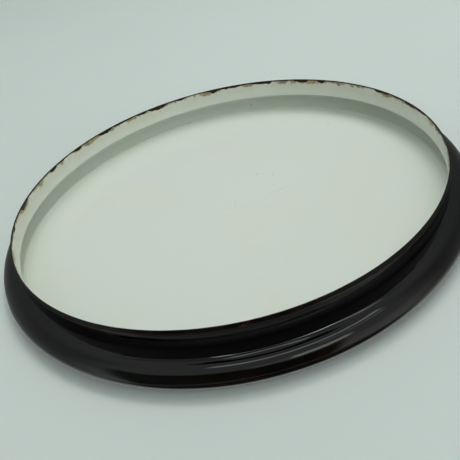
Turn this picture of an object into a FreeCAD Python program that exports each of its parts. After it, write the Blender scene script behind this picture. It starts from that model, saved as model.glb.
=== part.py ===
"""Round shallow mixing dish in vitreous-enamelled sheet steel.

One pressing of thin sheet has a short upright neck, a sharp crease and a narrow ledge below
it, and a rolled bulge outside them that turns under in a tight foot. The flat floor is raised
above the foot, so the dish stands on a ring.
White enamel lines the inside, near-black enamel covers the outside, and a strip of bare
ground coat wraps over the rim edge between the two.

Frame: millimetres, +Z up, origin on the dish axis in the plane that the ring stands on.
"""
import FreeCAD, Part
import math
import os
import Sketcher
from FreeCAD import Vector

# What a maker of the dish would set, on the outer surface. Lengths are in millimetres. The
# slope of the ledge, which runs from the crease to the bulge, and the angle below level at
# which the bulge hands over to the foot are in degrees.
DRIVING_SIZES = {
    "neck_radius": 100.0,
    "overall_height": 22.3,
    "floor_depth": 18.25,
    "crease_radius": 0.6,
    "ledge_slope": 7.0,
    "bulge_offset": 2.5,
    "bulge_radius": 6.7,
    "foot_angle": 60.0,
    "foot_radius": 2.2,
    "floor_bend_radius": 1.5,
    "steel_thickness": 0.5,
    "coat_thickness": 0.2,
    "rim_coat_outside": 2.2,
    "rim_coat_inside": 1.1,
    "rim_chamfer": 0.2,
    "ring_wear_depth": 0.05,
    "ring_wear_half_width": 1.0,
}

# What follows from them. Heights are above the plane that the ring stands on.
DERIVED_SIZES = {
    "half_steel": "=steel_thickness / 2",
    "half_wall": "=half_steel + coat_thickness",
    "wall_radius": "=neck_radius - half_wall",
    "crease_centre_radius": "=neck_radius + crease_radius",
    "crease_spacing": "=crease_radius + bulge_radius",
    "bulge_centre_radius": "=neck_radius + bulge_offset",
    "foot_spacing": "=bulge_radius - foot_radius",
    "foot_centre_radius": "=bulge_centre_radius + foot_spacing * cos(foot_angle)",
    "foot_centre_height": "=foot_radius - ring_wear_depth",
    "underside_height": "=overall_height - floor_depth - 2 * half_wall",
    "bend_centre_height": "=underside_height - floor_bend_radius",
    "bend_spacing": "=foot_radius + floor_bend_radius",
    "steel_top_height": "=overall_height - coat_thickness",
    "jacket_top_height": "=overall_height - rim_coat_outside",
    "lining_top_height": "=overall_height - rim_coat_inside",
}

# Sketcher's names for a point of an edge, and for the sketch's own origin and axis.
START, END, CENTRE = 1, 2, 3
ORIGIN_POINT = (-1, 1)
VERTICAL_AXIS = -2


def make_sizes(doc):
    """Put the driving and the derived sizes in a spreadsheet, one named cell each."""
    sheet = doc.addObject("Spreadsheet::Sheet", "Sizes")
    rows = {**DRIVING_SIZES, **DERIVED_SIZES}
    for row, (alias, content) in enumerate(rows.items(), start=1):
        sheet.set(f"A{row}", alias)
        sheet.set(f"B{row}", str(content))
        sheet.setAlias(f"B{row}", alias)
    doc.recompute()
    return sheet


def bind(sketch, constraint, name, expression):
    """Add a dimension to a sketch and tie it to the sizes."""
    index = sketch.addConstraint(constraint)
    sketch.renameConstraint(index, name)
    sketch.setExpression(f"Constraints.{name}", expression)


def join(sketch, first, second):
    """Make two points of a sketch one point. Each is (edge, which point)."""
    sketch.addConstraint(Sketcher.Constraint("Coincident", *first, *second))


def distance_from_axis(point, value):
    return Sketcher.Constraint("DistanceX", *ORIGIN_POINT, *point, value)


def height(point, value):
    return Sketcher.Constraint("DistanceY", *ORIGIN_POINT, *point, value)


def add_line(sketch, start, end, construction=False):
    return sketch.addGeometry(Part.LineSegment(start, end), construction)


def add_arc(sketch, centre, radius, start_angle, end_angle):
    """Add an arc that runs counter-clockwise between two angles in radians."""
    circle = Part.Circle(centre, Vector(0, 0, 1), radius)
    return sketch.addGeometry(Part.ArcOfCircle(circle, start_angle, end_angle), False)


def new_body(doc, name):
    body = doc.addObject("PartDesign::Body", name)
    body.Label = name
    body.Placement = FreeCAD.Placement()
    return body


def new_section(body, name):
    """Start a sketch in the half-plane through the dish axis: x is radius, y is height."""
    plane = next(item for item in body.Origin.OriginFeatures if item.Role == "XZ_Plane")
    sketch = body.newObject("Sketcher::SketchObject", name)
    sketch.AttachmentSupport = [(plane, "")]
    sketch.MapMode = "FlatFace"
    return sketch


def revolve(body, sketch, kind, name):
    """Turn a section once round the dish axis, to add material or to cut it away."""
    feature = body.newObject(f"PartDesign::{kind}", name)
    feature.Profile = sketch
    feature.ReferenceAxis = (sketch, ["V_Axis"])
    feature.Angle = 360
    sketch.Visibility = False
    body.Tip = feature
    return feature


def add_skeleton(sketch, sizes):
    """Draw the centres that every layer's arcs share, joined by construction lines.

    The spoke runs from the crease's centre square across the ledge, as far as the bulge's
    centre lies below it. The sill runs from there, parallel to the ledge, to the bulge's
    centre, and the spur from there down to the foot's centre. The strut runs on inward to
    the centre of the bend where the foot rises to the floor.
    """
    slope, foot_angle = math.radians(sizes.ledge_slope), math.radians(sizes.foot_angle)
    along_ledge = Vector(math.cos(slope), -math.sin(slope), 0)
    across_ledge = Vector(math.sin(slope), math.cos(slope), 0)
    foot_centre = Vector(sizes.foot_centre_radius, sizes.foot_centre_height, 0)
    bulge_centre = Vector(sizes.bulge_centre_radius,
                          foot_centre.y + sizes.foot_spacing * math.sin(foot_angle), 0)
    sill_length = ((sizes.bulge_offset - sizes.crease_radius
                    + sizes.crease_spacing * across_ledge.x) / along_ledge.x)
    sill_start = bulge_centre - along_ledge * sill_length
    crease_centre = sill_start + across_ledge * sizes.crease_spacing
    drop = foot_centre.y - sizes.bend_centre_height
    reach = math.sqrt(sizes.bend_spacing ** 2 - drop ** 2)
    bend_centre = foot_centre - Vector(reach, drop, 0)

    spoke = add_line(sketch, crease_centre, sill_start, construction=True)
    sill = add_line(sketch, sill_start, bulge_centre, construction=True)
    spur = add_line(sketch, bulge_centre, foot_centre, construction=True)
    strut = add_line(sketch, foot_centre, bend_centre, construction=True)
    for first, second in ((spoke, sill), (sill, spur), (spur, strut)):
        join(sketch, (first, END), (second, START))
    sketch.addConstraint(Sketcher.Constraint("Perpendicular", spoke, sill))
    bind(sketch, Sketcher.Constraint("Angle", sill, -slope), "ledge_slope", "-Sizes.ledge_slope")
    bind(sketch, Sketcher.Constraint("Distance", spoke, sizes.crease_spacing),
         "crease_spacing", "Sizes.crease_spacing")
    bind(sketch, distance_from_axis((spoke, START), crease_centre.x),
         "crease_centre_radius", "Sizes.crease_centre_radius")
    bind(sketch, distance_from_axis((spur, START), bulge_centre.x),
         "bulge_centre_radius", "Sizes.bulge_centre_radius")
    bind(sketch, Sketcher.Constraint("Angle", spur, -foot_angle), "foot_angle", "-Sizes.foot_angle")
    bind(sketch, Sketcher.Constraint("Distance", spur, sizes.foot_spacing),
         "foot_spacing", "Sizes.foot_spacing")
    bind(sketch, height((strut, START), foot_centre.y),
         "foot_centre_height", "Sizes.foot_centre_height")
    bind(sketch, height((strut, END), bend_centre.y),
         "bend_centre_height", "Sizes.bend_centre_height")
    bind(sketch, Sketcher.Constraint("Distance", strut, sizes.bend_spacing),
         "bend_spacing", "Sizes.bend_spacing")
    return spoke, sill, spur, strut


def add_surface(sketch, sizes, skeleton, name, offset, top):
    """Draw one face of a layer, from the top of the neck round to the dish axis.

    offset is the size, with its sign, that the face lies outside the middle of the wall.
    Only the neck is dimensioned: every other run follows from the skeleton's centres.
    Returns the neck line and the floor line.
    """
    spoke, sill, spur, strut = skeleton
    sign, size_name = (-1, offset[1:]) if offset.startswith("-") else (1, offset)
    neck_radius = sizes.wall_radius + sign * getattr(sizes, size_name)
    crease_centre, sill_start = (sketch.getPoint(spoke, end) for end in (START, END))
    bulge_centre, foot_centre = (sketch.getPoint(spur, end) for end in (START, END))
    bend_centre = sketch.getPoint(strut, END)
    across_ledge = (crease_centre - sill_start).normalize()
    ledge_angle = math.atan2(across_ledge.y, across_ledge.x)
    to_foot = foot_centre - bend_centre
    bend_angle = math.atan2(to_foot.y, to_foot.x)
    foot_angle = math.radians(sizes.foot_angle)
    crease_radius = crease_centre.x - neck_radius
    bulge_radius = sizes.crease_spacing - crease_radius
    foot_radius = bulge_radius - sizes.foot_spacing
    bend_radius = sizes.bend_spacing - foot_radius
    floor_height = bend_centre.y + bend_radius

    neck = add_line(sketch, Vector(neck_radius, top, 0), Vector(neck_radius, crease_centre.y, 0))
    crease = add_arc(sketch, crease_centre, crease_radius, math.pi, ledge_angle + math.pi)
    ledge = add_line(sketch, crease_centre - across_ledge * crease_radius,
                     bulge_centre + across_ledge * bulge_radius)
    bulge = add_arc(sketch, bulge_centre, bulge_radius, -foot_angle, ledge_angle)
    foot = add_arc(sketch, foot_centre, foot_radius, bend_angle - math.pi, -foot_angle)
    bend = add_arc(sketch, bend_centre, bend_radius, bend_angle, math.pi / 2)
    floor = add_line(sketch, Vector(bend_centre.x, floor_height, 0), Vector(0, floor_height, 0))

    for arc, centre in ((crease, (spoke, START)), (bulge, (spur, START)),
                        (foot, (strut, START)), (bend, (strut, END))):
        join(sketch, (arc, CENTRE), centre)
    join(sketch, (neck, END), (crease, START))
    join(sketch, (crease, END), (ledge, START))
    join(sketch, (bulge, START), (foot, END))
    join(sketch, (foot, START), (bend, START))
    join(sketch, (bend, END), (floor, START))
    sketch.addConstraint([
        Sketcher.Constraint("Vertical", neck),
        Sketcher.Constraint("Horizontal", crease, START, crease, CENTRE),
        Sketcher.Constraint("PointOnObject", crease, END, spoke),
        Sketcher.Constraint("Parallel", ledge, sill),
        Sketcher.Constraint("Tangent", ledge, END, bulge, END),
        Sketcher.Constraint("PointOnObject", bulge, START, spur),
        Sketcher.Constraint("PointOnObject", foot, START, strut),
        Sketcher.Constraint("Vertical", bend, END, bend, CENTRE),
        Sketcher.Constraint("Horizontal", floor),
        Sketcher.Constraint("PointOnObject", floor, END, VERTICAL_AXIS),
    ])
    bind(sketch, distance_from_axis((neck, START), neck_radius),
         f"{name}_neck_radius", f"Sizes.wall_radius {'-' if sign < 0 else '+'} Sizes.{size_name}")
    return neck, floor


def add_layer(sketch, sizes, outer_offset, inner_offset, top):
    """Draw both faces of a layer and close it on the axis. Returns the two neck lines."""
    skeleton = add_skeleton(sketch, sizes)
    outer_neck, outer_floor = add_surface(sketch, sizes, skeleton, "outer", outer_offset, top)
    inner_neck, inner_floor = add_surface(sketch, sizes, skeleton, "inner", inner_offset, top)
    outer_end, inner_end = (sketch.getPoint(floor, END) for floor in (outer_floor, inner_floor))
    axis_edge = add_line(sketch, outer_end, inner_end)
    join(sketch, (outer_floor, END), (axis_edge, START))
    join(sketch, (inner_floor, END), (axis_edge, END))
    return outer_neck, inner_neck


def close_square(sketch, outer_neck, inner_neck, top, top_name):
    """End a layer's neck in a level edge at the named height."""
    outer_top, inner_top = (sketch.getPoint(neck, START) for neck in (outer_neck, inner_neck))
    edge = add_line(sketch, outer_top, inner_top)
    join(sketch, (outer_neck, START), (edge, START))
    join(sketch, (inner_neck, START), (edge, END))
    sketch.addConstraint(Sketcher.Constraint("Horizontal", edge))
    bind(sketch, height((edge, START), top), top_name, f"Sizes.{top_name}")


def make_steel_pressing(doc, sizes):
    """The sheet-steel core, drawn to shape in one piece and trimmed square at the rim."""
    body = new_body(doc, "steel_pressing")
    sketch = new_section(body, "pressing_section")
    top = sizes.steel_top_height
    outer_neck, inner_neck = add_layer(sketch, sizes, "half_steel", "-half_steel", top)
    close_square(sketch, outer_neck, inner_neck, top, "steel_top_height")
    revolve(body, sketch, "Revolution", "pressing")
    return body


def make_white_lining(doc, sizes):
    """The white glass coat fused to the whole inside of the pressing."""
    body = new_body(doc, "white_enamel_lining")
    sketch = new_section(body, "lining_section")
    top = sizes.lining_top_height
    outer_neck, inner_neck = add_layer(sketch, sizes, "-half_steel", "-half_wall", top)
    close_square(sketch, outer_neck, inner_neck, top, "lining_top_height")
    revolve(body, sketch, "Revolution", "lining")
    return body


def make_dark_jacket(doc, sizes):
    """The near-black coat on the outside, worn flat in a narrow ring where it stands."""
    body = new_body(doc, "dark_enamel_jacket")
    sketch = new_section(body, "jacket_section")
    top = sizes.jacket_top_height
    outer_neck, inner_neck = add_layer(sketch, sizes, "half_wall", "half_steel", top)
    close_square(sketch, outer_neck, inner_neck, top, "jacket_top_height")
    jacket = revolve(body, sketch, "Revolution", "jacket")
    ring = add_standing_ring(body, sizes)
    doc.recompute()
    if ring.Shape.Volume >= jacket.Shape.Volume:
        raise RuntimeError("the standing ring is not worn into the jacket")
    return body


def add_standing_ring(body, sizes):
    """Wear the lowest sliver of the jacket away, down to the standing plane."""
    sketch = new_section(body, "ring_section")
    middle = sizes.foot_centre_radius
    half = sizes.ring_wear_half_width
    corners = [Vector(middle - half, 0, 0), Vector(middle + half, 0, 0),
               Vector(middle + half, -half, 0), Vector(middle - half, -half, 0)]
    edges = [add_line(sketch, corners[i], corners[(i + 1) % 4]) for i in range(4)]
    for i in range(4):
        join(sketch, (edges[i], END), (edges[(i + 1) % 4], START))
        direction = "Horizontal" if i % 2 == 0 else "Vertical"
        sketch.addConstraint(Sketcher.Constraint(direction, edges[i]))
    sketch.addConstraint(Sketcher.Constraint("PointOnObject", edges[0], START, -1))
    bind(sketch, distance_from_axis((edges[0], START), middle - half),
         "inner_side", "Sizes.foot_centre_radius - Sizes.ring_wear_half_width")
    bind(sketch, distance_from_axis((edges[0], END), middle + half),
         "outer_side", "Sizes.foot_centre_radius + Sizes.ring_wear_half_width")
    bind(sketch, Sketcher.Constraint("DistanceY", edges[1], END, edges[1], START, half),
         "cut_height", "Sizes.ring_wear_half_width")
    return revolve(body, sketch, "Groove", "standing_ring")


def make_rim_coat(doc, sizes):
    """The strip of ground coat that wraps over the rim edge, from one coat to the other."""
    body = new_body(doc, "rim_edge_coat")
    sketch = new_section(body, "rim_section")
    outer = sizes.wall_radius + sizes.half_wall
    inner = sizes.wall_radius - sizes.half_wall
    steel_outer = sizes.wall_radius + sizes.half_steel
    steel_inner = sizes.wall_radius - sizes.half_steel
    top = sizes.overall_height
    shoulder = top - sizes.rim_chamfer
    corners = [
        Vector(outer, sizes.jacket_top_height, 0),
        Vector(outer, shoulder, 0),
        Vector(outer - sizes.rim_chamfer, top, 0),
        Vector(inner + sizes.rim_chamfer, top, 0),
        Vector(inner, shoulder, 0),
        Vector(inner, sizes.lining_top_height, 0),
        Vector(steel_inner, sizes.lining_top_height, 0),
        Vector(steel_inner, sizes.steel_top_height, 0),
        Vector(steel_outer, sizes.steel_top_height, 0),
        Vector(steel_outer, sizes.jacket_top_height, 0),
    ]
    count = len(corners)
    edges = [add_line(sketch, corners[i], corners[(i + 1) % count]) for i in range(count)]
    for i in range(count):
        join(sketch, (edges[i], END), (edges[(i + 1) % count], START))
    (outside, outer_chamfer, rim, inner_chamfer, inside,
     inner_end, steel_inside, steel_rim, steel_outside, outer_end) = edges
    for upright in (outside, inside, steel_inside, steel_outside):
        sketch.addConstraint(Sketcher.Constraint("Vertical", upright))
    for level in (rim, inner_end, steel_rim, outer_end):
        sketch.addConstraint(Sketcher.Constraint("Horizontal", level))
    sketch.addConstraint(Sketcher.Constraint("Horizontal", outside, END, inside, START))
    sketch.addConstraint(Sketcher.Constraint("Equal", outer_chamfer, inner_chamfer))
    for edge, name, expression in (
        (outside, "outer_radius", "wall_radius + Sizes.half_wall"),
        (inside, "inner_radius", "wall_radius - Sizes.half_wall"),
        (steel_outside, "steel_outer_radius", "wall_radius + Sizes.half_steel"),
        (steel_inside, "steel_inner_radius", "wall_radius - Sizes.half_steel"),
        (rim, "chamfer_inset", "wall_radius + Sizes.half_wall - Sizes.rim_chamfer"),
    ):
        radius = sketch.getPoint(edge, START).x
        bind(sketch, distance_from_axis((edge, START), radius), name, f"Sizes.{expression}")
    for edge, name, expression in (
        (rim, "overall_height", "overall_height"),
        (inside, "shoulder_height", "overall_height - Sizes.rim_chamfer"),
        (inner_end, "lining_top_height", "lining_top_height"),
        (steel_rim, "steel_top_height", "steel_top_height"),
        (outer_end, "jacket_top_height", "jacket_top_height"),
    ):
        level = sketch.getPoint(edge, START).y
        bind(sketch, height((edge, START), level), name, f"Sizes.{expression}")
    revolve(body, sketch, "Revolution", "rim_coat")
    return body


def check(doc, bodies):
    """Stop if any object failed, or a piece is not one valid solid of the right size."""
    for item in doc.Objects:
        if {"Invalid", "Error"} & set(item.State):
            raise RuntimeError(f"{item.Name} did not build: {item.State}")
        if item.isDerivedFrom("Sketcher::SketchObject") and not item.FullyConstrained:
            raise RuntimeError(f"{item.Name} is not fully constrained")
    for body in bodies:
        shape = body.Shape
        if shape.isNull() or not shape.isValid() or len(shape.Solids) != 1:
            raise RuntimeError(f"{body.Label} is not one valid solid")
        box = shape.optimalBoundingBox(True, False)
        print(f"{body.Label}: {shape.Volume:.1f} mm3, radius {box.XMax:.2f}, "
              f"z {box.ZMin:.3f} to {box.ZMax:.3f}")


def main():
    doc = FreeCAD.newDocument("mixing_dish")
    sizes = make_sizes(doc)
    makers = (make_steel_pressing, make_white_lining, make_dark_jacket, make_rim_coat)
    bodies = [make(doc, sizes) for make in makers]
    doc.recompute()
    check(doc, bodies)
    os.makedirs("parts", exist_ok=True)
    for body in bodies:
        body.Shape.exportStep(f"parts/{body.Label}.step")


main()
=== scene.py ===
"""Looks of the round enamelled-steel mixing dish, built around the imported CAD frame.

The three coats are rebuilt as fine revolved meshes whose upper edges are ragged where the
enamel has worn and chipped along the rim. The steel core is redrawn as finely, because the
CAD mesh's coarser facets would break through the coats.
Everything is in metres, in the CAD frame: +Z up, origin in the standing plane.
"""
import math
import random

import bmesh
import bpy
import numpy as np
from mathutils import Matrix, Vector, noise


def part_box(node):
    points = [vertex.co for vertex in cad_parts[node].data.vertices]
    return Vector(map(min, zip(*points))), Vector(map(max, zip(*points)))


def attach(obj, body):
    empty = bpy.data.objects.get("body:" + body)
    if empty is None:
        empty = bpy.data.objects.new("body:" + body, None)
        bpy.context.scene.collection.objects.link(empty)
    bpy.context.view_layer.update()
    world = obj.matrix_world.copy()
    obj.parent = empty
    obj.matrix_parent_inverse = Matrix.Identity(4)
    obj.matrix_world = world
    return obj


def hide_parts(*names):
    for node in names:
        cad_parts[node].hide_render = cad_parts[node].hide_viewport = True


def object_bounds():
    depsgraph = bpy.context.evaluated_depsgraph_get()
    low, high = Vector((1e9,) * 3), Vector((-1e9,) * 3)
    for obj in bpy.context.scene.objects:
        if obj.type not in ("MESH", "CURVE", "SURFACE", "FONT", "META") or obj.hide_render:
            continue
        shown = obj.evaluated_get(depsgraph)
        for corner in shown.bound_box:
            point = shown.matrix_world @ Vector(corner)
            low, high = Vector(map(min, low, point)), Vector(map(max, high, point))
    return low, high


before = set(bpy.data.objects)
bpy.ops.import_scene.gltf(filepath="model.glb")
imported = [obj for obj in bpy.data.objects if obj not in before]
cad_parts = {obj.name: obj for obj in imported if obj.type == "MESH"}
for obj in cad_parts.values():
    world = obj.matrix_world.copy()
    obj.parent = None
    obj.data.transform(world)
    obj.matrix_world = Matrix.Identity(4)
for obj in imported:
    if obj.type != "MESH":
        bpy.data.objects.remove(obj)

CAD_LOW, CAD_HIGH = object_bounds()

# ---------------------------------------------------------------- the dish's sizes
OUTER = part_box("rim_edge_coat")[1].x
RIM_HEIGHT = CAD_HIGH.z
BULGE_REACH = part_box("dark_enamel_jacket")[1].x
COAT, GAUGE = 0.0002, 0.0005
WALL = GAUGE + 2 * COAT
STEEL_OUTER, STEEL_TOP = OUTER - COAT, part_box("steel_pressing")[1].z
STEEL_INNER = STEEL_OUTER - GAUGE
INNER = OUTER - WALL

# The wall's section: centres in the (radius, height) plane, radii of the outer surface.
CREASE = 0.0006
LEDGE_SLOPE = math.radians(7)
BULGE_OFFSET = 0.0025   # from the neck's face out to the bulge's centre
BULGE = BULGE_REACH - OUTER - BULGE_OFFSET
FOOT, FOOT_ANGLE = 0.0022, math.radians(60)
FOOT_WEAR = 0.00005     # what wear has taken off the foot, which leaves the flat ring
BULGE_CENTRE = Vector((BULGE_REACH - BULGE,
                       FOOT - FOOT_WEAR + (BULGE - FOOT) * math.sin(FOOT_ANGLE)))
FOOT_CENTRE = BULGE_CENTRE + (BULGE - FOOT) * Vector((math.cos(FOOT_ANGLE),
                                                      -math.sin(FOOT_ANGLE)))
ACROSS_LEDGE = Vector((math.sin(LEDGE_SLOPE), math.cos(LEDGE_SLOPE)))
CREASE_RADIUS = OUTER + CREASE
CREASE_CENTRE = Vector((CREASE_RADIUS, BULGE_CENTRE.y + (
    CREASE + BULGE - (CREASE_RADIUS - BULGE_CENTRE.x) * ACROSS_LEDGE.x) / ACROSS_LEDGE.y))
LEDGE_HEIGHT = BULGE_CENTRE.y + BULGE
FLOOR_DEPTH = 0.01825
FLOOR_BEND = 0.0015
UNDERSIDE = RIM_HEIGHT - FLOOR_DEPTH - WALL
BEND_ANGLE = math.asin((FOOT_CENTRE.y - UNDERSIDE + FLOOR_BEND) / (FOOT + FLOOR_BEND))
BEND_CENTRE = Vector((FOOT_CENTRE.x - (FOOT + FLOOR_BEND) * math.cos(BEND_ANGLE),
                      UNDERSIDE - FLOOR_BEND))

# The ground coat is a thin skin on the steel; the other two coats lap over its skirts.
GROUND_COAT = 0.00008
GROUND_INNER, GROUND_OUTER = STEEL_INNER - GROUND_COAT, STEEL_OUTER + GROUND_COAT
INNER_SKIRT, OUTER_SKIRT = RIM_HEIGHT - 0.0032, RIM_HEIGHT - 0.0042
TUCK = 0.0006           # below its skirt, over which the other coats come in to the steel
RIM_BEAD = 0.0003       # radius of the rounded top of the rim

# Depth below the rim of the ragged coat edges: middle, how far they wander, deepest chip.
LINING_EDGE = (0.0005, 0.00028, 0.0018)
JACKET_EDGE = (0.0018, 0.0005, 0.0011)
SHALLOWEST, DEEPEST = 0.00032, 0.0028
CHIPS, CHIP_HALF_WIDTH = 64, (0.008, 0.07)      # the half-width in radians
LIP = 0.00016           # drop over which a coat's upper edge rounds to its full thickness

# Waves in a fired coat: height, and number to the metre. They fade out near the neck's face.
BROAD_WAVES, FINE_WAVES = (0.00003, 75), (0.000008, 260)
CALM = 0.002
RIM_DENT, RIM_DENT_BIAS = 0.00003, 0.3          # the bias makes more dents than swellings

FINE_SPOKES = 1440      # round the rim, where the chips are
SPOKES = FINE_SPOKES // 3
CREASE_STEPS, FOOT_STEPS, BEND_STEPS = 8, 10, 8
FACE_STEPS, HIDDEN_STEPS = (44, 26), (20, 5)    # round the bulge, and across the floor
SMOOTH_UP_TO = math.radians(50)
TURN = 2 * math.pi


# ---------------------------------------------------------------- meshes
def arc(centre, radius, start, end, steps):
    """Points on an arc in the (radius, height) plane, angles in radians."""
    return [Vector((centre.x + radius * math.cos(angle), centre.y + radius * math.sin(angle)))
            for angle in np.linspace(start, end, steps + 1)]


def wall_profile(neck, bulge_steps, floor_rows):
    """The wall's section from the foot of the straight neck nearly to the dish axis.

    neck is the radius of the face's neck, which tells how far inside the wall it lies. The
    outermost face meets the ledge in a sharp corner, where dirt and glaze fill the crease.
    """
    crease = CREASE_CENTRE.x - neck
    bulge = CREASE + BULGE - crease
    foot = bulge - BULGE + FOOT
    bend = FOOT + FLOOR_BEND - foot
    across = math.pi / 2 - LEDGE_SLOPE
    if neck == OUTER:
        ledge = CREASE_CENTRE - ACROSS_LEDGE * crease
        points = [Vector((neck, ledge.y + (ledge.x - neck) * math.tan(LEDGE_SLOPE)))]
    else:
        points = arc(CREASE_CENTRE, crease, math.pi, math.pi + across, CREASE_STEPS)
    points += arc(BULGE_CENTRE, bulge, across, -FOOT_ANGLE, bulge_steps)
    points += arc(FOOT_CENTRE, foot, -FOOT_ANGLE, BEND_ANGLE - math.pi, FOOT_STEPS)[1:]
    points += arc(BEND_CENTRE, bend, BEND_ANGLE, math.pi / 2, BEND_STEPS)[1:]
    floor = points[-1]
    for step in range(1, floor_rows):
        points.append(Vector((floor.x * (1 - step / floor_rows) ** 0.8, floor.y)))
    return points


def rim_wander(seed, middle, reach, deepest):
    """Depth of a ragged coat edge below the rim top, one value for each fine spoke.

    Slow and fast noise make the edge wander, and seeded chips bite deeper.
    """
    rng = random.Random(seed)
    chips = [(rng.uniform(0, TURN), rng.uniform(*CHIP_HALF_WIDTH),
              rng.uniform(0.2, 1) * deepest) for _ in range(CHIPS)]
    depths = []
    for spoke in range(FINE_SPOKES):
        angle = TURN * spoke / FINE_SPOKES
        place = Vector((math.cos(angle), math.sin(angle), 0.37 * seed))
        slow = noise.noise(place * 3.1)
        fast = noise.noise(place * 19.0) + 0.6 * noise.noise(place * 57.0)
        depth = middle + reach * (0.9 * slow + 0.7 * fast)
        for centre, width, bite in chips:
            away = abs((angle - centre + math.pi) % TURN - math.pi) / width
            if away < 1:
                bowl = bite * (1 - away * away) ** 0.5
                depth = max(depth, bowl * (1 + 0.5 * fast) + middle / 2)
        depths.append(min(max(depth, SHALLOWEST), DEEPEST))
    return depths


def ripple(angle, point, seed):
    """The uneven thickness of a fired coat, a few hundredths of a millimetre."""
    place = Vector((math.cos(angle) * point.x, math.sin(angle) * point.x, point.y + seed))
    return sum(height * noise.noise(place * count) for height, count in (BROAD_WAVES, FINE_WAVES))


class Revolved:
    """A mesh made of rings round the dish axis, each with the fine or the coarse spokes."""

    def __init__(self):
        self.vertices = []
        self.faces = []

    def ring(self, count, place):
        """Add a ring; place(spoke) gives the point in the (radius, height) plane."""
        start = len(self.vertices)
        for spoke in range(count):
            point = place(spoke)
            angle = TURN * spoke / count
            self.vertices.append((point.x * math.cos(angle), point.x * math.sin(angle),
                                  point.y))
        return start, count

    def plain_rings(self, count, points):
        """A true circle through each of the points."""
        return [self.ring(count, lambda spoke, point=point: point) for point in points]

    def bridge(self, upper, lower):
        """Join two rings. The upper may have three times as many spokes as the lower."""
        (top, top_count), (low, low_count) = upper, lower
        share = top_count // low_count
        for spoke in range(low_count):
            beyond = (spoke + 1) % low_count
            tops = [top + (spoke * share + step) % top_count for step in range(share + 1)]
            self.faces.append([low + spoke, low + beyond] + tops[::-1])

    def run(self, start, rings):
        """Bridge a row of rings one after another. Returns the last."""
        for ring in rings:
            self.bridge(start, ring)
            start = ring
        return start

    def pole(self, last, height):
        """Close the last ring on the dish axis."""
        centre = len(self.vertices)
        self.vertices.append((0, 0, height))
        start, count = last
        for spoke in range(count):
            self.faces.append([start + spoke, centre, start + (spoke + 1) % count])

    def as_object(self, name, material):
        mesh = bpy.data.meshes.new(name)
        mesh.from_pydata(self.vertices, [], self.faces)
        shape = bmesh.new()
        shape.from_mesh(mesh)
        bmesh.ops.recalc_face_normals(shape, faces=shape.faces)
        shape.to_mesh(mesh)
        shape.free()
        mesh.polygons.foreach_set("use_smooth", [True] * len(mesh.polygons))
        mesh.set_sharp_from_angle(angle=SMOOTH_UP_TO)
        mesh.materials.append(material)
        made = bpy.data.objects.new(name, mesh)
        bpy.context.scene.collection.objects.link(made)
        return made


def add_coat(mesh, depths, face, back, steel_face, skirt, seed):
    """Fill a mesh with one closed coat: ragged lip, visible face and hidden face.

    face and back are the radii of the coat's neck on its visible side and where it laps
    over the ground coat, whose skirt ends at the height skirt; below that the coat lies on
    the steel's own face.
    """
    def edge_row(angle):
        reach = back + (face - back) * math.sin(angle)
        drop = LIP * (1 - math.cos(angle))
        return mesh.ring(FINE_SPOKES, lambda spoke: Vector((
            reach, RIM_HEIGHT - depths[spoke] - drop)))

    def neck_row(radius, share):
        return mesh.ring(FINE_SPOKES, lambda spoke: Vector((
            radius, (1 - share) * (RIM_HEIGHT - depths[spoke] - LIP) + share * skirt)))

    def rippled(profile):
        for index, point in enumerate(profile):
            along = profile[min(index + 1, len(profile) - 1)] - profile[max(index - 1, 0)]
            normal = Vector((-along.y, along.x)).normalized()
            share = min(1, abs(point.x - face) / CALM)

            def place(spoke):
                swell = share * ripple(TURN * spoke / SPOKES, point, seed)
                moved = point + normal * swell
                return Vector((moved.x, max(moved.y, 0)))
            yield mesh.ring(SPOKES, place)

    crest = edge_row(0)
    visible = mesh.run(crest, [edge_row(math.radians(angle)) for angle in (30, 60, 90)])
    visible = mesh.run(visible, [neck_row(face, share) for share in (0.12, 0.35, 0.65, 1)])
    neck_rows = [Vector((face, z)) for z in np.linspace(skirt - TUCK, CREASE_CENTRE.y, 5)[:-1]]
    profile = neck_rows + wall_profile(face, *FACE_STEPS)
    mesh.pole(mesh.run(visible, rippled(profile)), profile[-1].y)

    hidden = mesh.run(crest, [neck_row(back, share) for share in (0.35, 1)])
    inside = [Vector((steel_face, skirt - TUCK))] + wall_profile(steel_face, *HIDDEN_STEPS)
    mesh.pole(mesh.run(hidden, mesh.plain_rings(SPOKES, inside)), inside[-1].y)


def make_lining(material):
    """The white inside, from its ragged edge just below the rim to the middle of the floor."""
    mesh = Revolved()
    depths = rim_wander(3, *LINING_EDGE)
    add_coat(mesh, depths, INNER, GROUND_INNER, STEEL_INNER, INNER_SKIRT, seed=0.7)
    return mesh.as_object("white_enamel_coat", material)


def make_jacket(material):
    """The dark outside, from its lower edge on the neck to the middle of the underside."""
    mesh = Revolved()
    depths = rim_wander(8, *JACKET_EDGE)
    add_coat(mesh, depths, OUTER, GROUND_OUTER, STEEL_OUTER, OUTER_SKIRT, seed=1.9)
    return mesh.as_object("dark_enamel_coat", material)


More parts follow.
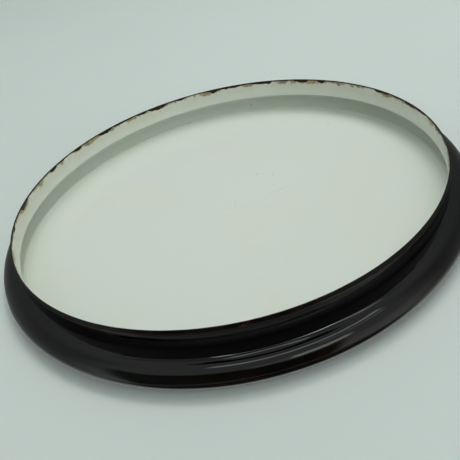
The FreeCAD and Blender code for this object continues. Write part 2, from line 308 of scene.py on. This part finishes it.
def make_rim(material):
    """The bare ground coat: a skin over both sides of the rim, and a rounded bead on top."""
    half = (GROUND_OUTER - GROUND_INNER) / 2
    middle = Vector(((GROUND_OUTER + GROUND_INNER) / 2, RIM_HEIGHT - RIM_BEAD))
    section = [Vector((GROUND_OUTER, z)) for z in np.linspace(OUTER_SKIRT, middle.y, 9)]
    section += [middle + Vector((half * math.cos(angle), RIM_BEAD * math.sin(angle)))
                for angle in np.linspace(0, math.pi, 11)[1:-1]]
    section += [Vector((GROUND_INNER, z)) for z in np.linspace(middle.y, INNER_SKIRT, 7)]
    hidden = [Vector((STEEL_INNER, INNER_SKIRT)), Vector((STEEL_INNER, STEEL_TOP)),
              Vector((STEEL_OUTER, STEEL_TOP)), Vector((STEEL_OUTER, OUTER_SKIRT))]
    mesh = Revolved()
    rings = []
    for index, point in enumerate(section):
        buried = index in (0, len(section) - 1)

        def place(spoke):
            angle = TURN * spoke / FINE_SPOKES
            spot = Vector((math.cos(angle), math.sin(angle), point.x * 40 + point.y * 30))
            dent = 0 if buried else RIM_DENT * (noise.noise(spot * 45) - RIM_DENT_BIAS)
            return point + (point - middle).normalized() * dent
        rings.append(mesh.ring(FINE_SPOKES, place))
    rings += mesh.plain_rings(FINE_SPOKES, hidden)
    mesh.run(rings[0], rings[1:] + rings[:1])
    return mesh.as_object("rim_ground_coat", material)


def make_core(material):
    """The steel pressing, as fine as the coats, so that it stays hidden inside them."""
    mesh = Revolved()
    necks = (STEEL_OUTER, STEEL_INNER)
    lips = mesh.plain_rings(SPOKES, [Vector((neck, STEEL_TOP)) for neck in necks])
    mesh.bridge(*lips)
    for lip, neck in zip(lips, necks):
        profile = wall_profile(neck, *HIDDEN_STEPS)
        mesh.pole(mesh.run(lip, mesh.plain_rings(SPOKES, profile)), profile[-1].y)
    return mesh.as_object("steel_core", material)


# ---------------------------------------------------------------- materials
GLASS_IOR = 1.52


class Tree:
    """Short calls for building a node tree."""

    def __init__(self, tree):
        self.tree = tree
        tree.nodes.clear()

    def node(self, kind, values=(), **settings):
        """Add a node. values maps input names or numbers to plain values or sockets."""
        made = self.tree.nodes.new(kind)
        for name, value in settings.items():
            setattr(made, name, value)
        for key, value in dict(values).items():
            if isinstance(value, bpy.types.NodeSocket):
                self.tree.links.new(value, made.inputs[key])
            else:
                made.inputs[key].default_value = value
        return made

    def math(self, operation, *values):
        return self.node("ShaderNodeMath", dict(enumerate(values)), operation=operation).outputs[0]

    def plus(self, first, second):
        return self.math("ADD", first, second)

    def times(self, first, second):
        return self.math("MULTIPLY", first, second)

    def ramp(self, value, low, high):
        """0 where value is at low or short of it, 1 at high or past it, smooth between."""
        values = {"Value": value, "From Min": low, "From Max": high}
        return self.node("ShaderNodeMapRange", values, interpolation_type="SMOOTHSTEP").outputs[0]

    def blend(self, share, first, second):
        """Blend two colours, each a plain colour or a socket."""
        values = {0: share, 6: first, 7: second}
        return self.node("ShaderNodeMix", values, data_type="RGBA").outputs[2]

    def noise(self, place, scale, detail=3.0, roughness=0.55):
        values = {"Vector": place, "Scale": scale, "Detail": detail, "Roughness": roughness}
        return self.node("ShaderNodeTexNoise", values).outputs["Fac"]

    def bands(self, place, radius, along, across):
        """Noise drawn out along the rings, from 0 to 1 across a band."""
        values = {"Vector": self.stretched(place, (along, along, across)),
                  "W": self.times(radius, across), "Scale": 1.0, "Detail": 3.0}
        made = self.node("ShaderNodeTexNoise", values, noise_dimensions="4D")
        return self.ramp(made.outputs["Fac"], 0.35, 0.65)

    def cells(self, place, scale):
        """Scattered points: distance to the nearest, and a random colour for its cell."""
        values = {"Vector": place, "Scale": scale}
        made = self.node("ShaderNodeTexVoronoi", values)
        return made.outputs["Distance"], made.outputs["Color"]

    def stretched(self, place, scale):
        values = {"Vector": place, "Scale": scale}
        return self.node("ShaderNodeMapping", values).outputs[0]

    def split(self, vector):
        return self.node("ShaderNodeSeparateXYZ", {0: vector}).outputs

    def bump(self, height, strength, distance):
        values = {"Height": height, "Strength": strength, "Distance": distance}
        return self.node("ShaderNodeBump", values).outputs[0]


def new_material(name):
    """A material, its tree, its object coordinates and its shader."""
    material = bpy.data.materials.new(name)
    material.use_nodes = True
    tree = Tree(material.node_tree)
    shader = tree.node("ShaderNodeBsdfPrincipled")
    output = tree.node("ShaderNodeOutputMaterial")
    tree.tree.links.new(shader.outputs[0], output.inputs[0])
    place = tree.node("ShaderNodeTexCoord").outputs["Object"]
    return material, tree, place, shader


def connect(tree, shader, **sockets):
    """Link sockets to the shader's inputs, named as keyword_arguments."""
    for name, socket in sockets.items():
        tree.tree.links.new(socket, shader.inputs[name.replace("_", " ")])


def from_axis(tree, place):
    """A point's distance from the dish axis."""
    x, y, _ = tree.split(place)
    return tree.math("SQRT", tree.plus(tree.times(x, x), tree.times(y, y)))


def white_enamel():
    """The lining: glossy, slightly yellowed and hazed, stained below the rim."""
    material, tree, place, shader = new_material("white_enamel")
    z = tree.split(place)[2]
    radius = from_axis(tree, place)
    white, yellowed = (0.84, 0.89, 0.82, 1), (0.835, 0.88, 0.775, 1)
    colour = tree.blend(tree.ramp(tree.noise(place, 24, 4), 0.42, 0.7), white, yellowed)

    # Grime and scuffs gather round the middle of the floor.
    wandering = tree.plus(radius, tree.times(tree.noise(place, 30), 0.03))
    middle = tree.ramp(wandering, 0.062, 0.02)
    strokes = tree.noise(tree.stretched(place, (60, 600, 60)), 1.0, 2)
    crossed = tree.noise(tree.stretched(place, (500, 90, 60)), 1.0, 2)
    scuffs = tree.math("MAXIMUM", tree.ramp(strokes, 0.66, 0.76), tree.ramp(crossed, 0.68, 0.78))
    scuffed = tree.times(middle, scuffs)
    colour = tree.blend(tree.times(scuffed, 0.35), colour, (0.45, 0.47, 0.40, 1))

    # Sparse dark specks fired into the glass.
    distance, pick = tree.cells(place, 170)
    sparse = tree.ramp(tree.split(pick)[0], 0.955, 0.965)
    specks = tree.times(sparse, tree.ramp(distance, 0.075, 0.03))
    colour = tree.blend(tree.times(specks, 0.8), colour, (0.10, 0.08, 0.05, 1))

    # Rust and tan stain creep down from the bare rim, under a faint wider veil.
    creep = tree.noise(place, 95, 5, 0.65)
    depth = tree.math("SUBTRACT", RIM_HEIGHT, z)
    reach = tree.times(tree.ramp(creep, 0.38, 0.68), 0.0026)
    stain = tree.ramp(tree.math("SUBTRACT", depth, reach), 0.0009, -0.0003)
    tan = tree.blend(tree.ramp(tree.noise(place, 260, 4), 0.38, 0.62),
                     (0.34, 0.22, 0.06, 1), (0.09, 0.04, 0.010, 1))
    veil = tree.times(tree.ramp(depth, 0.010, 0.0), tree.ramp(creep, 0.2, 0.6))
    colour = tree.blend(tree.times(veil, 0.5), colour, (0.66, 0.62, 0.42, 1))
    colour = tree.blend(tree.times(stain, 0.8), colour, tan)

    # Haze, wear and the grime in the floor's corner take off some of the gloss.
    haze = tree.times(tree.ramp(tree.noise(place, 40, 4), 0.4, 0.75), 0.10)
    worn = tree.times(tree.math("MAXIMUM", stain, scuffed), 0.25)
    corner = tree.times(tree.ramp(radius, OUTER - 0.0025, OUTER + 0.0005), 0.3)
    corner = tree.times(corner, tree.ramp(z, LEDGE_HEIGHT, LEDGE_HEIGHT - 0.003))
    roughness = tree.plus(0.09, tree.plus(haze, tree.plus(worn, corner)))
    peel = tree.plus(tree.noise(place, 140, 2), tree.times(scuffed, -0.15))
    connect(tree, shader, Base_Color=colour, Roughness=roughness,
            Normal=tree.bump(peel, 0.25, 0.0001))
    shader.inputs["IOR"].default_value = GLASS_IOR
    return material


def dark_enamel():
    """The jacket: glossy near-black, filmed and worn in places, with a painted sheen on the neck.
    """
    material, tree, place, shader = new_material("dark_enamel")
    x, y, z = tree.split(place)

    # The glaze is black, and thin enough to look brown low on the bulge.
    black, brown = (0.0007, 0.0005, 0.0004, 1), (0.0085, 0.0038, 0.0018, 1)
    low = tree.ramp(z, LEDGE_HEIGHT - 0.002, LEDGE_HEIGHT - 0.005)
    thin = tree.times(low, tree.ramp(tree.noise(place, 45, 4), 0.35, 0.65))
    colour = tree.blend(thin, black, brown)

    # A dull film covers the side towards -X and -Y.
    side = tree.plus(tree.times(x, -0.94), tree.times(y, -0.34))
    side = tree.plus(side, tree.times(tree.noise(place, 35), 0.02))
    film = tree.times(tree.ramp(side, 0.052, 0.085),
                      tree.ramp(z, LEDGE_HEIGHT, LEDGE_HEIGHT - 0.002))
    bands = tree.bands(place, from_axis(tree, place), 18, 750)
    colour = tree.blend(tree.times(film, bands), colour, (0.0048, 0.0056, 0.0046, 1))

    # A grey painted sheen on the neck, away from the film, stands in for the reflection of the
    # table in front.
    neck_painted_sheen = tree.times(tree.ramp(z, RIM_HEIGHT - 0.0085, RIM_HEIGHT - 0.0052),
                        tree.ramp(z, RIM_HEIGHT - 0.0024, RIM_HEIGHT - 0.0048))
    neck_painted_sheen = tree.times(neck_painted_sheen, tree.ramp(side, 0.085, 0.055))
    colour = tree.blend(tree.times(neck_painted_sheen, 0.8), colour, (0.0125, 0.0135, 0.0125, 1))

    # The glaze thins to reddish brown at its worn upper edge.
    fray = tree.plus(z, tree.times(tree.noise(place, 240, 4), 0.0012))
    worn = tree.ramp(fray, RIM_HEIGHT - 0.0024, RIM_HEIGHT - 0.0012)
    colour = tree.blend(tree.times(worn, 0.8), colour, (0.0065, 0.003, 0.0018, 1))

    # It is scratched grey and matt in the ring that it stands on.
    scratched = tree.times(tree.ramp(z, 0.0004, 0.00005),
                           tree.ramp(tree.noise(place, 400, 3), 0.35, 0.6))
    colour = tree.blend(tree.times(scratched, 0.7), colour, (0.09, 0.075, 0.06, 1))

    # Film, dust and scratches take off the gloss.
    dust = tree.times(tree.ramp(tree.noise(place, 300, 4), 0.55, 0.8), 0.10)
    matt = tree.plus(0.04, tree.times(bands, 0.1))
    rough = tree.plus(0.02, tree.times(film, matt))
    rough = tree.plus(rough, tree.plus(dust, tree.times(scratched, 0.4)))
    peel = tree.plus(tree.noise(place, 120, 2), tree.times(bands, 0.3))
    connect(tree, shader, Base_Color=colour, Roughness=rough, Normal=tree.bump(peel, 0.2, 0.0001))
    shader.inputs["IOR"].default_value = GLASS_IOR
    return material


def ground_coat():
    """The bare rim: dull dark brown glass with rust in it."""
    material, tree, place, shader = new_material("ground_coat")
    dark, brown = (0.0018, 0.0011, 0.0006, 1), (0.010, 0.005, 0.002, 1)
    colour = tree.blend(tree.ramp(tree.noise(place, 180, 5), 0.4, 0.65), dark, brown)

    # It is browner inside the rim, partly for wear and partly as painted light, where more light
    # reaches it.
    inside = tree.ramp(from_axis(tree, place), OUTER - 0.0003, OUTER - 0.0006)
    colour = tree.blend(tree.times(inside, 0.7), colour, (0.030, 0.022, 0.009, 1))
    rust = tree.ramp(tree.noise(place, 130, 6, 0.7), 0.57, 0.71)
    colour = tree.blend(tree.times(rust, 0.7), colour, (0.085, 0.034, 0.010, 1))
    roughness = tree.plus(0.2, tree.times(rust, 0.5))
    grit = tree.noise(place, 900, 4, 0.7)
    connect(tree, shader, Base_Color=colour, Roughness=roughness,
            Normal=tree.bump(grit, 0.15, 0.0001))
    shader.inputs["Specular IOR Level"].default_value = 0.15
    return material


def sheet_steel():
    """The core, which shows only if a coat is taken off: drawn marks and a little rust."""
    material, tree, place, shader = new_material("sheet_steel")
    drawn = tree.noise(tree.stretched(place, (40, 40, 900)), 1.0, 4)
    colour = tree.blend(drawn, (0.30, 0.29, 0.27, 1), (0.50, 0.48, 0.46, 1))
    rust = tree.ramp(tree.noise(place, 60, 5, 0.7), 0.58, 0.7)
    colour = tree.blend(rust, colour, (0.16, 0.06, 0.025, 1))
    connect(tree, shader, Base_Color=colour, Metallic=tree.math("SUBTRACT", 1, rust),
            Roughness=tree.plus(0.35, tree.times(rust, 0.4)),
            Normal=tree.bump(drawn, 0.3, 0.0001))
    return material


def table_top():
    """The pale floor's own surface, matt and faintly mottled."""
    material, tree, place, shader = new_material("table_top")
    mottle = tree.noise(place, 9, 3)
    colour = tree.blend(mottle, (0.75, 0.825, 0.795, 1), (0.78, 0.85, 0.82, 1))
    connect(tree, shader, Base_Color=colour)
    shader.inputs["Roughness"].default_value = 0.9
    shader.inputs["Specular IOR Level"].default_value = 0.1
    return material


# ---------------------------------------------------------------- studio
def make_floor():
    """The pale floor. Gloss sees the world's own floor instead, which is shaded there."""
    bpy.ops.mesh.primitive_plane_add(size=8, location=(0, 0, 0))
    floor = bpy.context.object
    floor.name = "studio_floor"
    floor.data.materials.append(table_top())
    floor.visible_glossy = False


# What stands round the dish in the light tent: azimuths from the front (-Y) towards +X,
# elevations above the rim, soft edge, all in degrees, and brightness.
SURROUNDINGS = (
    ("table in front, in shadow", (-90, 90), (-90, -42), 12, 0.035),
    ("table behind, under the dish", (90, 270), (-90, -42), 12, 0.45),
    ("open front, left", (-65, 5), (-42, 17), 5, 0.03),
    ("open front, right", (0, 30), (-42, 8), 5, 0.03),
    ("left wall in shade", (-165, -75), (-42, 45), 15, 0.22),
    ("right wall in shade", (70, 165), (-42, 45), 15, 0.2),
    ("tent behind", (120, 240), (56, 88), 4, 0.3),
    ("white card, near end", (-8, 10), (13, 21), 4, 0.8),
    ("white card", (9, 34), (13, 23), 2.5, 2.5),
    ("front light bar", (-31, 67), (48.5, 54), 1.5, 2.6),
    ("front light bar, lower", (24, 60), (39, 41.5), 1.2, 1.5),
    ("lens port", (-75, 75), (69, 79), 2, 0.0),
    ("back light bar, high", (110, 250), (80, 84), 1.5, 2.6),
    ("back light bar, low", (153, 200), (60, 68), 2, 7.0),
    ("back light bar, far end", (126, 150), (61, 67), 1.5, 1.8),
)
TENT, TENT_FLOOR = 0.45, 0.6
TENT_TINT, BACKDROP = (0.94, 1.0, 0.97, 1), (0.60, 0.68, 0.65, 1)


def make_world():
    """The light tent: an even dome with the surroundings laid over it by direction.

    The camera itself sees a plain pale backdrop in its place.
    """
    world = bpy.data.worlds.new("light_tent")
    bpy.context.scene.world = world
    world.use_nodes = True
    tree = Tree(world.node_tree)
    x, y, z = tree.split(tree.node("ShaderNodeTexCoord").outputs["Generated"])
    azimuth = tree.math("DEGREES", tree.math("ARCTAN2", x, tree.times(y, -1)))
    elevation = tree.math("DEGREES", tree.math("ARCSINE", z))
    above = tree.ramp(elevation, -3, 3)
    light = tree.plus(TENT_FLOOR, tree.times(above, TENT - TENT_FLOOR))
    for _, (left, right), (low, high), soft, brightness in SURROUNDINGS:
        turned = azimuth
        if right > 180:
            turned = tree.math("MODULO", tree.plus(azimuth, 360), 360)
        sides = [tree.ramp(elevation, low - soft, low + soft),
                 tree.ramp(elevation, high + soft, high - soft),
                 tree.ramp(turned, left - soft, left + soft),
                 tree.ramp(turned, right + soft, right - soft)]
        inside = sides[0]
        for side in sides[1:]:
            inside = tree.times(inside, side)
        step = tree.times(inside, tree.math("SUBTRACT", brightness, light))
        light = tree.plus(light, step)
    tent = tree.node("ShaderNodeBackground", {"Color": TENT_TINT, "Strength": light})
    backdrop = tree.node("ShaderNodeBackground", {"Color": BACKDROP})
    seen = tree.node("ShaderNodeLightPath").outputs["Is Camera Ray"]
    mixed = tree.node("ShaderNodeMixShader", {0: seen, 1: tent.outputs[0], 2: backdrop.outputs[0]})
    tree.node("ShaderNodeOutputWorld", {0: mixed.outputs[0]})


def make_camera():
    """The photograph's view: 35 degrees down on the rim, with the camera rolled."""
    camera = bpy.data.objects.new("camera", bpy.data.cameras.new("camera"))
    bpy.context.scene.collection.objects.link(camera)
    right = Vector((0.96900, -0.13502, -0.20692))
    back = Vector((0.01013, -0.81507, 0.57927))
    away, above = 2.2886 * OUTER, 1.2820 * OUTER
    stand = Matrix((right, back.cross(right), back)).transposed().to_4x4()
    stand.translation = Vector((0, -away, RIM_HEIGHT + above))
    camera.matrix_world = stand
    camera.data.lens = 43.83
    camera.data.sensor_width = 36
    bpy.context.scene.camera = camera


def make_light():
    """One large soft light, high on the right and a little behind the dish."""
    lamp = bpy.data.lights.new("overhead", "AREA")
    lamp.shape = "RECTANGLE"
    lamp.size, lamp.size_y = 0.6, 0.35
    lamp.energy = 1.85
    light = bpy.data.objects.new("overhead", lamp)
    light.location = (0.32, 0.15, 0.88)
    light.rotation_euler = Vector(light.location).to_track_quat("Z", "Y").to_euler()
    light.visible_glossy = False
    bpy.context.scene.collection.objects.link(light)


# ---------------------------------------------------------------- the scene
def put(piece, node):
    """Hand a piece over in place of its CAD node, on the one body that there is."""
    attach(piece, "root")
    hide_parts(node)


put(make_lining(white_enamel()), "white_enamel_lining")
put(make_jacket(dark_enamel()), "dark_enamel_jacket")
put(make_rim(ground_coat()), "rim_edge_coat")
put(make_core(sheet_steel()), "steel_pressing")

make_floor()
make_world()
make_light()
make_camera()
bpy.context.scene.view_settings.view_transform = "Standard"
